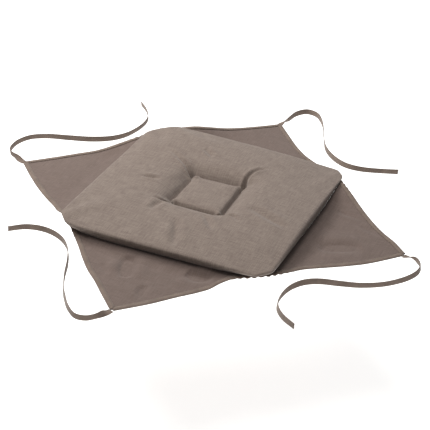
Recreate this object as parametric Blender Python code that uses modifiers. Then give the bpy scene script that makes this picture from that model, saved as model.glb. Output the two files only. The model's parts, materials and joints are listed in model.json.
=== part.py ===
"""Chair seat pad with four tie-on flaps.

A square knife-edged cushion has a stitched square in its middle. A single-layer triangular flap is
sewn into each side seam, and folded tape binds the flaps' free edges, crosses the cushion's corners
and runs on as a tie at every flap's tip. Metres, +Z up; the origin is under the middle of the pad.
"""
import math

import bmesh
import bpy
from mathutils import Matrix, Vector

# Driving dimensions
PAD_SIDE = 0.360            # seam to seam
TIP_REACH = 0.341           # middle of the pad to a flap's tip
CROWN = 0.035               # height of the filled pad
SEAM_HEIGHT = 0.009         # height of the side seams, which are the flaps' hinge lines
QUILT_SIDE = 0.096          # stitched square in the middle
CLOTH = 0.0008              # panel cloth
GAP = 0.0003                # between neighbouring pieces
HEM_WIDTH = 0.0085          # bound edge, folded tape
TAPE_WIDTH = 0.010          # free tie
TAPE_THICK = 0.0012
THREAD = 0.0006
SLOPE_RUN = 0.055           # a flap comes down from its seam to the table over this length
HINGE_ROOM = 0.0032         # a binding stops this far from a hinge line
TIP_ROOM = 0.002            # a flap's cloth stops this far short of its bindings' mitre
SEAM_ROOM = 0.004           # a side seam's thread stops this far from a corner
SEAM_INSET = 0.0016         # and lies this far in from the hinge line

PAD_HALF = PAD_SIDE / 2
QUILT_HALF = QUILT_SIDE / 2
HEM_THICK = 4 * CLOTH       # two tape layers and the flap, with room for the stitches
CORNER_WALL = 0.8 * HEM_THICK
WADDING_EDGE = 0.0055       # the filling stops this far inside the seam
WADDING_RIM = 0.0022        # half the height of the filling at its edge
FLAP_DEPTH = TIP_REACH - PAD_HALF
FLAP_REST = HEM_THICK / 2   # height of a flap's middle plane where it lies on the table

PAD_COLOUR = (0.29, 0.235, 0.205, 1.0)
TAPE_COLOUR = (0.25, 0.20, 0.175, 1.0)
THREAD_COLOUR = (0.19, 0.15, 0.13, 1.0)
WADDING_COLOUR = (0.86, 0.86, 0.84, 1.0)

# The cushion's outer section, from its middle to its seam: (half side of the ring, height)
TOP_SECTION = (
    (0.000, 0.0285), (0.034, 0.0280), (QUILT_HALF, 0.0240), (0.060, 0.0300), (0.085, 0.0345),
    (0.120, CROWN), (0.150, 0.0320), (0.169, 0.0255), (0.1788, 0.0160),
    (PAD_HALF - 0.0006, SEAM_HEIGHT + 0.0011),
)
BOTTOM_SECTION = (
    (0.000, 0.0), (0.042, 0.0), (QUILT_HALF, 0.0022), (0.054, 0.0), (0.085, 0.0),
    (0.120, 0.0), (0.150, 0.0), (0.165, 0.0008), (0.1745, 0.0033),
    (PAD_HALF - 0.0009, SEAM_HEIGHT - 0.0012),
)
QUILT_RING = 2              # the section's station that the quilting pulls down

# Routes of the four ties on the table, after the straight start at each flap's tip: (x, y)
TIE_ROUTES = {
    "left": (
        (-0.3795, 0.018), (-0.3865, 0.037), (-0.386, 0.060), (-0.375, 0.084), (-0.349, 0.101),
        (-0.315, 0.112), (-0.280, 0.124), (-0.250, 0.142), (-0.231, 0.166), (-0.222, 0.196),
        (-0.220, 0.225), (-0.225, 0.250), (-0.240, 0.275), (-0.262, 0.298),
    ),
    "back": (
        (0.0135, 0.392), (0.028, 0.410), (0.050, 0.405), (0.069, 0.379), (0.084, 0.346),
        (0.096, 0.314), (0.111, 0.283), (0.134, 0.257), (0.161, 0.241), (0.190, 0.239),
        (0.220, 0.247), (0.252, 0.259),
    ),
    "front": (
        (-0.0205, -0.3775), (-0.038, -0.380), (-0.056, -0.367), (-0.071, -0.349), (-0.087, -0.325),
        (-0.103, -0.292), (-0.117, -0.257), (-0.134, -0.225), (-0.156, -0.202),
        (-0.181, -0.1895), (-0.206, -0.187), (-0.229, -0.194), (-0.249, -0.211),
    ),
    "right": (
        (0.375, -0.024), (0.375, -0.046), (0.363, -0.071), (0.340, -0.097), (0.310, -0.116),
        (0.279, -0.126), (0.249, -0.134), (0.228, -0.148), (0.215, -0.171), (0.211, -0.200),
        (0.216, -0.227), (0.232, -0.248), (0.256, -0.264),
    ),
}
TIE_START = ((0.0006, 0.0), (0.012, -0.0030), (0.024, -0.0085))  # (out past the tip, across it)
TIE_STEP = 0.0095           # spacing of the points that carry the tape
TIE_TURN = 0.030            # the tape turns from flat to standing over this length

# Each flap's direction in degrees, and the names of its bound edges, anticlockwise one first
SIDES = {"front": -90.0, "right": 0.0, "back": 90.0, "left": 180.0}
FLAP_EDGES = {
    "front": ("right", "left"), "right": ("back", "front"),
    "back": ("left", "right"), "left": ("front", "back"),
}
CORNERS = {"back_right": 45.0, "back_left": 135.0, "front_left": 225.0, "front_right": 315.0}


def clear_scene():
    for thing in list(bpy.data.objects):
        bpy.data.objects.remove(thing, do_unlink=True)


def material(name, colour, roughness):
    made = bpy.data.materials.new(name)
    made.use_nodes = True
    shader = made.node_tree.nodes["Principled BSDF"]
    shader.inputs["Base Color"].default_value = colour
    shader.inputs["Roughness"].default_value = roughness
    shader.inputs["Metallic"].default_value = 0.0
    made.diffuse_color = colour
    return made


def add_node(name, mesh, finish):
    """Put a mesh, or a curve, into the pad's collection under its own name."""
    piece = bpy.data.objects.new(name, mesh)
    mesh.materials.append(finish)
    pad_parts.objects.link(piece)
    return piece


def mesh_of(name, bm):
    bmesh.ops.recalc_face_normals(bm, faces=bm.faces)
    mesh = bpy.data.meshes.new(name)
    bm.to_mesh(mesh)
    bm.free()
    mesh.shade_smooth()
    return mesh


# ---- The filled pad: panels, wadding and its threads ----

def inset_section(section, depth, towards):
    """Move a section inwards, square to itself, for what lies under the cloth."""
    moved = []
    for i, (out, up) in enumerate(section[:-1]):
        before = Vector(section[max(i - 1, 0)])
        after = Vector(section[i + 1])
        run = (after - before).normalized()
        inwards = Vector((-run.y, run.x)) * towards * depth
        moved.append((out + inwards.x if i else 0.0, up + inwards.y))
    moved.append((PAD_HALF - WADDING_EDGE, SEAM_HEIGHT - WADDING_RIM * towards))
    return moved


def corner_limit(out):
    """The tape cuts the pad's corners off along the flaps' outer edge."""
    inside = CORNER_WALL + GAP + PAD_HALF - out
    return TIP_REACH - math.sqrt(2) * inside


def clip_corner(x, y, limit):
    """Cut a ring's corner: the corner point goes to the middle of the cut, others stay on their side."""
    if abs(x) + abs(y) <= limit:
        return x, y
    if math.isclose(abs(x), abs(y), rel_tol=1e-6):
        return math.copysign(limit / 2, x), math.copysign(limit / 2, y)
    if abs(x) > abs(y):
        return x, math.copysign(limit - abs(x), y)
    return math.copysign(limit - abs(y), x), y


def place_ring_grid(bm, verts, section):
    """Lay a square grid over a cushion: each square ring of points has one half side and height."""
    rings = len(section) - 1
    for vert in verts:
        column = round(vert.co.x * rings)
        row = round(vert.co.y * rings)
        ring = max(abs(column), abs(row))
        out, up = section[ring]
        x = out * column / ring if ring else 0.0
        y = out * row / ring if ring else 0.0
        vert.co = (*clip_corner(x, y, corner_limit(out)), up)


def grid(rings):
    bm = bmesh.new()
    bmesh.ops.create_grid(bm, x_segments=2 * rings, y_segments=2 * rings, size=1.0)
    return bm


def panel(name, section, finish):
    """A cover panel: an open shaped surface that Solidify thickens inwards."""
    bm = grid(len(section) - 1)
    place_ring_grid(bm, bm.verts, section)
    if section is BOTTOM_SECTION:
        bmesh.ops.reverse_faces(bm, faces=bm.faces)
    mesh = bpy.data.meshes.new(name)
    bm.to_mesh(mesh)
    bm.free()
    mesh.shade_smooth()
    piece = add_node(name, mesh, finish)
    thicken = piece.modifiers.new("cloth", "SOLIDIFY")
    thicken.thickness = CLOTH
    thicken.offset = -1.0
    thicken.use_even_offset = False
    return piece


def wadding(finish):
    """The fibre filling: an upper and a lower face joined round the pad's edge."""
    depth = CLOTH + 2 * GAP
    bm = grid(len(TOP_SECTION) - 1)
    upper = list(bm.verts)
    copy = bmesh.ops.duplicate(bm, geom=bm.verts[:] + bm.edges[:] + bm.faces[:])
    lower = [item for item in copy["geom"] if isinstance(item, bmesh.types.BMVert)]
    place_ring_grid(bm, upper, inset_section(TOP_SECTION, depth, -1))
    place_ring_grid(bm, lower, inset_section(BOTTOM_SECTION, depth, 1))
    rim = [edge for edge in bm.edges if edge.is_boundary]
    bmesh.ops.bridge_loops(bm, edges=rim)
    return add_node("wadding", mesh_of("wadding", bm), finish)


def closed_tube(name, points, radius, finish, cyclic=False):
    """A thread: a polyline curve with a round section."""
    curve = bpy.data.curves.new(name, "CURVE")
    curve.dimensions = "3D"
    curve.bevel_depth = radius
    curve.bevel_resolution = 0
    curve.use_fill_caps = True
    spline = curve.splines.new("POLY")
    spline.points.add(len(points) - 1)
    for point, place in zip(spline.points, points):
        point.co = (*place, 1.0)
    spline.use_cyclic_u = cyclic
    return add_node(name, curve, finish)


def quilting(finish):
    """The lockstitched square: needle thread on top, bobbin thread underneath."""
    top = TOP_SECTION[QUILT_RING][1] + THREAD / 2 + GAP
    bottom = BOTTOM_SECTION[QUILT_RING][1] - THREAD / 2 - GAP
    for name, height in (("quilting_stitch_top", top), ("quilting_stitch_bottom", bottom)):
        signs = ((1, 1), (-1, 1), (-1, -1), (1, -1))
        corners = [(QUILT_HALF * a, QUILT_HALF * b, height) for a, b in signs]
        closed_tube(name, corners, THREAD / 2, finish, cyclic=True)


def side_seams(finish):
    """Each side's seam thread lies along the closed edge, between the panel rims."""
    half_length = FLAP_DEPTH - SEAM_ROOM
    inside = PAD_HALF - SEAM_INSET
    for side, angle in SIDES.items():
        turn = Matrix.Rotation(math.radians(angle), 3, "Z")
        ends = [turn @ Vector((inside, reach, SEAM_HEIGHT)) for reach in (-half_length, half_length)]
        closed_tube(f"side_seam_{side}", ends, THREAD / 2, finish)


# ---- The flaps and their bindings ----

def flap_height(out):
    """Height of a flap's middle plane at a distance out from its seam."""
    share = min(max(out / SLOPE_RUN, 0.0), 1.0)
    ease = share * share * (3 - 2 * share)
    return SEAM_HEIGHT + (FLAP_REST - SEAM_HEIGHT) * ease


def flap_panel(side, finish):
    """A triangle of cloth: a grid whose rows shorten towards the tip, thickened both ways."""
    rows, columns = 9, 6
    name = f"flap_{side}"
    turn = Matrix.Rotation(math.radians(SIDES[side]), 3, "Z")
    inset = CLOTH + 2 * GAP
    depth = FLAP_DEPTH - inset * math.sqrt(2)
    bm = bmesh.new()
    bmesh.ops.create_grid(bm, x_segments=rows, y_segments=columns, size=0.5)
    for vert in bm.verts:
        along = vert.co.x + 0.5
        out = GAP + (depth - GAP - TIP_ROOM) * along
        half_width = depth - out
        place = Vector((PAD_HALF + out, 2 * vert.co.y * half_width, flap_height(out)))
        vert.co = turn @ place
    mesh = bpy.data.meshes.new(name)
    bm.to_mesh(mesh)
    bm.free()
    mesh.shade_smooth()
    piece = add_node(name, mesh, finish)
    thicken = piece.modifiers.new("cloth", "SOLIDIFY")
    thicken.thickness = CLOTH
    thicken.offset = 0.0
    return piece


def folded_tape_section():
    """The binding's fold, from the end of its upper leg round to the end of its lower leg."""
    spread = HEM_THICK / 2 - CLOTH / 2
    return (
        (HEM_WIDTH, spread), (CLOTH * 1.3, spread), (CLOTH / 2, 0.0),
        (CLOTH * 1.3, -spread), (HEM_WIDTH, -spread),
    )


def binding(side, hand, finish):
    """One bound edge: folded tape from beside the hinge line to the mitre at the flap's tip.

    hand is 1 for the edge on the anticlockwise side of the flap, seen from above, and -1 for the other.
    """
    section = folded_tape_section()
    steps = 9
    name = f"binding_{side}_flap_{FLAP_EDGES[side][0 if hand > 0 else 1]}"
    turn = Matrix.Rotation(math.radians(SIDES[side]), 3, "Z")
    bm = bmesh.new()
    bmesh.ops.create_grid(bm, x_segments=steps, y_segments=len(section) - 1, size=0.5)
    for vert in bm.verts:
        inward, up = section[round((vert.co.y + 0.5) * (len(section) - 1))]
        edge = FLAP_DEPTH - inward * math.sqrt(2)
        out = HINGE_ROOM + (edge - 1.5 * GAP - HINGE_ROOM) * (vert.co.x + 0.5)
        vert.co = turn @ Vector((PAD_HALF + out, hand * (edge - out), flap_height(out) + up))
    piece = add_node(name, mesh_of(name, bm), finish)
    thicken = piece.modifiers.new("tape", "SOLIDIFY")
    thicken.thickness = CLOTH
    thicken.offset = 0.0
    return piece


def corner_binding(corner, angle, finish):
    """The stretch of tape that crosses a corner of the pad, along its closed edge."""
    reach = TIP_REACH / math.sqrt(2)            # middle of the pad to the outer edge, square to it
    half_length = (PAD_SIDE - TIP_REACH) / math.sqrt(2) - HINGE_ROOM
    name = f"corner_binding_{corner}"
    bm = bmesh.new()
    bmesh.ops.create_cube(bm, size=1.0)
    bmesh.ops.scale(bm, vec=(CORNER_WALL, 2 * half_length, HEM_THICK), verts=bm.verts)
    bmesh.ops.translate(bm, vec=(reach - CORNER_WALL / 2, 0.0, SEAM_HEIGHT), verts=bm.verts)
    bmesh.ops.rotate(bm, matrix=Matrix.Rotation(math.radians(angle), 3, "Z"), verts=bm.verts)
    piece = add_node(name, mesh_of(name, bm), finish)
    soften = piece.modifiers.new("fold", "BEVEL")
    soften.width = 0.3 * HEM_THICK
    soften.segments = 2
    return piece


# ---- The ties ----

def smooth_route(points, step):
    """Points at an even step along a Catmull-Rom curve through a route's own points."""
    ends = [2 * points[0] - points[1], *points, 2 * points[-1] - points[-2]]
    fine = []
    per_span = 24
    for a, b, c, d in zip(ends, ends[1:], ends[2:], ends[3:]):
        for i in range(per_span):
            t = i / per_span
            fine.append(0.5 * (2 * b + (c - a) * t + (2 * a - 5 * b + 4 * c - d) * t * t
                               + (3 * b - a - 3 * c + d) * t ** 3))
    fine.append(points[-1])
    length = sum((q - p).length for p, q in zip(fine, fine[1:]))
    count = round(length / step)
    even, walked, target = [fine[0]], 0.0, length / count
    for p, q in zip(fine, fine[1:]):
        span = (q - p).length
        while walked + span >= target * len(even) and len(even) < count:
            even.append(p.lerp(q, (target * len(even) - walked) / span))
        walked += span
    return even + [points[-1]]


def tie(side, finish):
    """A tie: the tape leaves the tip flat, turns on edge and lies in its loose curve."""
    name = f"tie_{side}"
    turn = Matrix.Rotation(math.radians(SIDES[side]), 3, "Z")
    start = [turn @ Vector((TIP_REACH + out, across, 0.0)) for out, across in TIE_START]
    route = start + [Vector((x, y, 0.0)) for x, y in TIE_ROUTES[side]]
    points = smooth_route(route, TIE_STEP)
    curve = bpy.data.curves.new(name, "CURVE")
    curve.dimensions = "3D"
    curve.twist_mode = "Z_UP"
    curve.extrude = TAPE_WIDTH / 2 - TAPE_THICK / 2
    curve.bevel_depth = TAPE_THICK / 2
    curve.bevel_resolution = 0
    curve.use_fill_caps = True
    spline = curve.splines.new("POLY")
    spline.points.add(len(points) - 1)
    walked = 0.0
    for i, place in enumerate(points):
        if i:
            walked += (place - points[i - 1]).length
        share = min(walked / TIE_TURN, 1.0)
        lean = math.radians(90) * (1 - share * share * (3 - 2 * share))
        half_height = TAPE_WIDTH / 2 * math.cos(lean) + TAPE_THICK / 2 * math.sin(lean)
        spline.points[i].co = (place.x, place.y, half_height + GAP, 1.0)
        spline.points[i].tilt = lean
    return add_node(name, curve, finish)


clear_scene()
pad_parts = bpy.data.collections.new("chair_seat_pad")
bpy.context.scene.collection.children.link(pad_parts)

cloth = material("plain_weave_cloth", PAD_COLOUR, 0.9)
tape = material("bias_tape", TAPE_COLOUR, 0.9)
thread = material("polyester_thread", THREAD_COLOUR, 0.6)
fibre = material("polyester_wadding", WADDING_COLOUR, 1.0)

panel("top_cover", TOP_SECTION, cloth)
panel("bottom_cover", BOTTOM_SECTION, cloth)
wadding(fibre)
quilting(thread)
side_seams(thread)
for side in SIDES:
    flap_panel(side, cloth)
    binding(side, 1, tape)
    binding(side, -1, tape)
    tie(side, tape)
for corner, angle in CORNERS.items():
    corner_binding(corner, angle, tape)
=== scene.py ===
"""Looks of the chair seat pad with four tie-on flaps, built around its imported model. Metres, +Z up."""

import json
import math

import bmesh
import bpy
import numpy as np
from mathutils import Matrix, Vector


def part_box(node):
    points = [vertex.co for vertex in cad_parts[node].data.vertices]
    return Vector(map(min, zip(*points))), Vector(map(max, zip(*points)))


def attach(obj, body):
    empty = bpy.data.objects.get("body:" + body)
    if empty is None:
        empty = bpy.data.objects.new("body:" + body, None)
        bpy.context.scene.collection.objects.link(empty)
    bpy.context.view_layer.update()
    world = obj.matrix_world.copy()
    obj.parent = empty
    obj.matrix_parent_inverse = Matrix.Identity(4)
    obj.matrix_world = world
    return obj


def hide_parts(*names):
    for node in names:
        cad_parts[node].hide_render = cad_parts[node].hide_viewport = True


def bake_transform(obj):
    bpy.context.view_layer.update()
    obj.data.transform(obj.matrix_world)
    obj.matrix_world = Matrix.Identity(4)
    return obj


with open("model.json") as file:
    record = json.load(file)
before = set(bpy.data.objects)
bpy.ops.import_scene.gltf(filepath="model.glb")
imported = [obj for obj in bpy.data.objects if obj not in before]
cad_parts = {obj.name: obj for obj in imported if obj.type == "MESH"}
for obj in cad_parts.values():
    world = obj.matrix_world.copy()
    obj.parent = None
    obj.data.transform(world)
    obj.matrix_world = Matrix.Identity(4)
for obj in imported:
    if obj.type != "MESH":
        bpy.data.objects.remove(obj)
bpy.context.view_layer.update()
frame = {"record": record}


# ---- Camera: a long lens, a little to the right of the front tip, looking down on the pad.
AZIMUTH, ELEVATION, ROLL = (math.radians(d) for d in (22.25, 30.06, 2.35))
DISTANCE = 2.33
SENSOR_WIDTH_MM, LENS_MM = 36.0, 119.2
LOOK_AT = Vector((0.0238, -0.0136, 0.0))


def put_in_scene(name, data):
    made = bpy.data.objects.new(name, data)
    bpy.context.scene.collection.objects.link(made)
    return made


towards_camera = Vector((
    math.sin(AZIMUTH) * math.cos(ELEVATION),
    -math.cos(AZIMUTH) * math.cos(ELEVATION),
    math.sin(ELEVATION),
))
camera = put_in_scene("camera", bpy.data.cameras.new("camera"))
camera.data.sensor_width, camera.data.lens = SENSOR_WIDTH_MM, LENS_MM
aim = (-towards_camera).to_track_quat("-Z", "Y").to_matrix() @ Matrix.Rotation(ROLL, 3, "Z")
camera.matrix_world = Matrix.LocRotScale(LOOK_AT + towards_camera * DISTANCE, aim, None)
bpy.context.scene.camera = camera


# ---- Ties: cotton-polyester tape, 10 mm wide when folded and sewn shut, and limp along its length.
# Each is the end of the tape that binds a flap's edge. It leaves the tip flat, turns on its edge
# and lies in a loose curve; its far end is cut square.
MM = 0.001
UP = np.array([0.0, 0.0, 1.0])
TIP_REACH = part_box("binding_right_flap_back")[1].x  # from the pad's middle to a flap's tip
SIDE_ANGLES = {"front": -90.0, "right": 0.0, "back": 90.0, "left": 180.0}
TIE_ROUTES = {
    "left": (
        (-0.3795, 0.018), (-0.3865, 0.037), (-0.386, 0.060), (-0.375, 0.084), (-0.349, 0.101),
        (-0.315, 0.112), (-0.280, 0.124), (-0.250, 0.142), (-0.231, 0.166), (-0.222, 0.196),
        (-0.220, 0.225), (-0.225, 0.250), (-0.240, 0.275), (-0.262, 0.298),
    ),
    "back": (
        (0.0135, 0.392), (0.028, 0.410), (0.050, 0.405), (0.069, 0.379), (0.084, 0.346),
        (0.096, 0.314), (0.111, 0.283), (0.134, 0.257), (0.161, 0.241), (0.190, 0.239),
        (0.220, 0.247), (0.252, 0.259),
    ),
    "front": (
        (-0.0205, -0.3775), (-0.038, -0.380), (-0.056, -0.367), (-0.071, -0.349), (-0.087, -0.325),
        (-0.103, -0.292), (-0.117, -0.257), (-0.134, -0.225), (-0.156, -0.202),
        (-0.181, -0.1895), (-0.206, -0.187), (-0.229, -0.194), (-0.249, -0.211),
    ),
    "right": (
        (0.375, -0.024), (0.375, -0.046), (0.363, -0.071), (0.340, -0.097), (0.310, -0.116),
        (0.279, -0.126), (0.249, -0.134), (0.228, -0.148), (0.215, -0.171), (0.211, -0.200),
        (0.216, -0.227), (0.232, -0.248), (0.256, -0.264),
    ),
}
TIE_START = ((0.0006, 0.0), (0.012, -0.0030), (0.024, -0.0085))
TAPE_WIDTH, TAPE_THICK = 10 * MM, 1.2 * MM
TIE_STEP = 2.5 * MM
TIE_TURN = 30 * MM  # the tape turns from flat to standing over this length
TIE_SWAY, SWAY_LENGTH = math.radians(9), 31 * MM
TIP_LIFT, FLOOR_GAP = 1.0 * MM, 0.3 * MM


def linear(hex_colour):
    """An sRGB hex colour as the linear RGBA that a shader takes."""
    parts = [int(hex_colour[i:i + 2], 16) / 255 for i in (1, 3, 5)]
    return tuple(c / 12.92 if c <= 0.04045 else ((c + 0.055) / 1.055) ** 2.4 for c in parts) + (1.0,)


def add_node(tree, kind, inputs=None, **settings):
    """Add a node to a tree: settings go on the node, inputs are values or another node's outputs."""
    node = tree.nodes.new(kind)
    for name, value in settings.items():
        setattr(node, name, value)
    for socket, value in (inputs or {}).items():
        if isinstance(value, bpy.types.NodeSocket):
            tree.links.new(value, node.inputs[socket])
        else:
            node.inputs[socket].default_value = value
    return node


def new_material(name):
    material = bpy.data.materials.new(name)
    material.use_nodes = True
    material.node_tree.nodes.clear()
    return material, material.node_tree


def finish_material(tree, inputs):
    """Lead one principled shader with the given inputs to the material's output."""
    shader = add_node(tree, "ShaderNodeBsdfPrincipled", inputs)
    add_node(tree, "ShaderNodeOutputMaterial", {"Surface": shader.outputs[0]})


def calculate(tree, operation, *values):
    made = add_node(tree, "ShaderNodeMath", dict(enumerate(values)), operation=operation)
    return made.outputs[0]


def noise(tree, place, scale, **inputs):
    inputs = {"Vector": place, "Scale": scale, **inputs}
    return add_node(tree, "ShaderNodeTexNoise", inputs).outputs[0]


def bump(tree, height, strength, depth):
    inputs = {"Height": height, "Strength": strength, "Distance": depth}
    return add_node(tree, "ShaderNodeBump", inputs).outputs[0]


def two_tone(tree, share, dark, pale, low=0.0, high=1.0):
    """A colour that runs from dark to pale as the share runs from low to high."""
    tint = add_node(tree, "ShaderNodeValToRGB", {"Fac": share})
    tint.color_ramp.elements[0].position, tint.color_ramp.elements[1].position = low, high
    tint.color_ramp.elements[0].color = linear(dark)
    tint.color_ramp.elements[1].color = linear(pale)
    return tint.outputs[0]


def crossed_threads(tree, place, pitch, waver, waver_scale):
    """Height of a plain weave: threads at a pitch, both ways, that waver a little."""
    # A wave texture at scale 1 has a band every 2 pi / 20
    threads = [
        add_node(tree, "ShaderNodeTexWave", {
            "Vector": place, "Scale": 2 * math.pi / pitch / 20, "Distortion": waver,
            "Detail": 1.0, "Detail Scale": waver_scale,
        }, bands_direction=way).outputs[1]
        for way in ("X", "Y")
    ]
    return calculate(tree, "MAXIMUM", *threads)


def tape_material():
    """Folded bias tape, matte, woven finer than the panels, its threads at 45 degrees to its edge."""
    material, tree = new_material("folded_bias_tape")
    place = add_node(tree, "ShaderNodeUVMap", uv_map="tape").outputs[0]
    turned = add_node(tree, "ShaderNodeMapping", {"Vector": place, "Rotation": (0, 0, math.radians(45))})
    # Threads lie 0.4 mm apart; they are drawn 0.9 mm apart, which is as fine as a close view shows
    weave = crossed_threads(tree, turned.outputs[0], 0.9 * MM, 0.6, 1.0)
    cloud = noise(tree, place, 60.0, Detail=3.0)
    finish_material(tree, {
        "Base Color": two_tone(tree, cloud, "#6A5C53", "#7C6D63", 0.3, 0.7), "Roughness": 0.88,
        "Specular IOR Level": 0.3, "Sheen Weight": 0.15, "Sheen Roughness": 0.5,
        "Normal": bump(tree, weave, 0.25, 0.15 * MM),
    })
    return material


TAPE_CLOTH = tape_material()
SPAN_STEPS = 40  # of the fine curve, from each point of a route to the next


def distances(line):
    """Distance walked along a line to each of its points."""
    return np.concatenate([[0], np.cumsum(np.linalg.norm(np.diff(line, axis=0), axis=1))])


def smooth_line(points):
    """A fine Catmull-Rom curve through a route's own points, and the distance walked to each."""
    route = np.array(points, float)
    ends = np.vstack([2 * route[0] - route[1], route, 2 * route[-1] - route[-2]])
    t = np.linspace(0, 1, SPAN_STEPS, endpoint=False)[:, None]
    spans = [
        0.5 * (2 * b + (c - a) * t + (2 * a - 5 * b + 4 * c - d) * t ** 2
               + (3 * b - a - 3 * c + d) * t ** 3)
        for a, b, c, d in zip(ends, ends[1:], ends[2:], ends[3:])
    ]
    fine = np.vstack(spans + [route[-1:]])
    return fine, distances(fine)


def read_line(fine, walked, places):
    """Points at given distances along a smooth line."""
    return np.stack([np.interp(places, walked, fine[:, i]) for i in range(fine.shape[1])], axis=-1)


def even_curve(points, step):
    """Points at an even step along the smooth line through a route's own points."""
    fine, walked = smooth_line(points)
    return read_line(fine, walked, np.linspace(0, walked[-1], max(2, round(walked[-1] / step) + 1)))


def tangents(points):
    run = np.gradient(points, axis=0)
    return run / np.linalg.norm(run, axis=1)[:, None]


def ease(share):
    share = np.clip(share, 0.0, 1.0)
    return share * share * (3 - 2 * share)


def face_outward(mesh, cap=False):
    """Turn a mesh's faces outward, after its open ends are capped if asked for."""
    bm = bmesh.new()
    bm.from_mesh(mesh)
    if cap:
        bmesh.ops.holes_fill(bm, edges=[edge for edge in bm.edges if edge.is_boundary])
    bmesh.ops.recalc_face_normals(bm, faces=bm.faces)
    bm.to_mesh(mesh)
    bm.free()


def tape_piece(name, rows, material):
    """A closed tape from rows of points around it: quads between the rows, and caps.

    Its UV map holds real distances along and around the tape, in metres.
    """
    rows = np.asarray(rows)
    count, width = rows.shape[:2]
    faces = []
    for i in range(count - 1):
        for j in range(width):
            here, beside = i * width + j, i * width + (j + 1) % width
            faces.append((here, beside, beside + width, here + width))
    mesh = bpy.data.meshes.new(name)
    mesh.from_pydata(rows.reshape(-1, 3).tolist(), [], faces)
    along, around = distances(rows.mean(axis=1)), distances(np.vstack([rows[0], rows[0][:1]]))
    layer = mesh.uv_layers.new(name="tape")
    for face, polygon in enumerate(mesh.polygons):
        i, j = divmod(face, width)
        stations = (i, j), (i, j + 1), (i + 1, j + 1), (i + 1, j)
        for loop, (a, b) in zip(polygon.loop_indices, stations):
            layer.data[loop].uv = (along[a], around[b])
    face_outward(mesh, cap=True)
    mesh.shade_smooth()
    mesh.materials.append(material)
    return put_in_scene(name, mesh)


def tape_section():
    """The sewn-shut tape's outline, from one edge round to the same edge: (across, through)."""
    half = [(-1.0, 0.0), (-0.97, 0.75), (-0.86, 1.0), (-0.4, 0.92), (0.0, 0.95), (0.4, 0.92),
            (0.66, 0.9), (0.76, 0.62), (0.86, 0.9), (0.97, 0.7)]
    return half + [(-a, -b) for a, b in half]


def directions(side):
    """A side's own two directions in plan: out of the pad, and across, anticlockwise from it."""
    angle = math.radians(SIDE_ANGLES[side])
    return np.array([math.cos(angle), math.sin(angle)]), np.array([-math.sin(angle), math.cos(angle)])


def lie_tie(side):
    """Centre line, width direction and thickness direction at each step of a tie."""
    out, over = directions(side)
    start = [out * (TIP_REACH + a) + over * b for a, b in TIE_START]
    plan = even_curve(start + [np.array(p) for p in TIE_ROUTES[side]], TIE_STEP)
    run = tangents(np.column_stack([plan, np.zeros(len(plan))]))
    walked = np.arange(len(plan)) * np.linalg.norm(plan[1] - plan[0])
    turned = ease(walked / TIE_TURN)
    sway = TIE_SWAY * np.sin(walked / SWAY_LENGTH + SIDE_ANGLES[side]) * ease(walked / TIE_TURN - 0.5)
    lean = math.radians(90) * (1 - turned) + sway
    beside = np.cross(run, UP)
    wide = UP * np.cos(lean)[:, None] + beside * np.sin(lean)[:, None]
    thick = np.cross(run, wide)
    height = TAPE_WIDTH / 2 * np.abs(np.cos(lean)) + TAPE_THICK / 2 * np.abs(np.sin(lean))
    height += FLOOR_GAP + TIP_LIFT * (1 - turned)
    return np.column_stack([plan, height]), wide, thick


tie_paths = {side: lie_tie(side) for side in TIE_ROUTES}
tie_pieces = {}
for side, (centre, wide, thick) in tie_paths.items():
    section = tape_section()
    rows = [
        [c + w * a * TAPE_WIDTH / 2 + t * b * TAPE_THICK / 2 for a, b in section]
        for c, w, t in zip(centre, wide, thick)
    ]
    tie_pieces[side] = tape_piece(f"tie_tape_{side}", rows, TAPE_CLOTH)
    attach(tie_pieces[side], f"{side}_flap")
    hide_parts(f"tie_{side}")


# ---- Studio: a pale floor well below the pad, so that the flaps have room to hang, and soft boxes.
# The paper glows a little, which whitens it without more light on the pad.
FLOOR_DROP, FLOOR_RADIUS = 0.30, 9.0
PAPER_GLOW, ROOM_LIGHT = 0.75, 0.23
floor_mesh = bpy.data.meshes.new("studio_floor")
bm = bmesh.new()
bmesh.ops.create_circle(bm, cap_ends=True, segments=64, radius=FLOOR_RADIUS)
bmesh.ops.translate(bm, vec=(0, 0, -FLOOR_DROP), verts=bm.verts)
bm.to_mesh(floor_mesh)
bm.free()
floor_material, floor_tree = new_material("white_studio_paper")
finish_material(floor_tree, {
    "Base Color": linear("#F4F3F1"), "Roughness": 0.9,
    "Emission Color": linear("#FFFFFF"), "Emission Strength": PAPER_GLOW,
})
floor_mesh.materials.append(floor_material)
floor = put_in_scene("studio_floor", floor_mesh)


def soft_box(name, place, size, power, colour):
    light = bpy.data.lights.new(name, "AREA")
    light.shape, light.size = "DISK", size
    light.energy, light.color = power, linear(colour)[:3]
    lamp = put_in_scene(name, light)
    place = Vector(place)
    lamp.matrix_world = Matrix.LocRotScale(place, place.to_track_quat("Z", "Y"), None)


soft_box("key_soft_box", (-1.00, 0.38, 1.30), 0.9, 27.0, "#FFFDFA")
soft_box("overhead_soft_box", (-0.2, -0.5, 2.3), 1.2, 27.0, "#FFFFFF")
world = bpy.data.worlds.new("studio_room")
world.use_nodes = True
room = world.node_tree.nodes["Background"]
room.inputs["Color"].default_value = linear("#FFFFFF")
room.inputs["Strength"].default_value = ROOM_LIGHT
bpy.context.scene.world = world
bpy.context.scene.view_settings.view_transform = "Standard"


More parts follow.
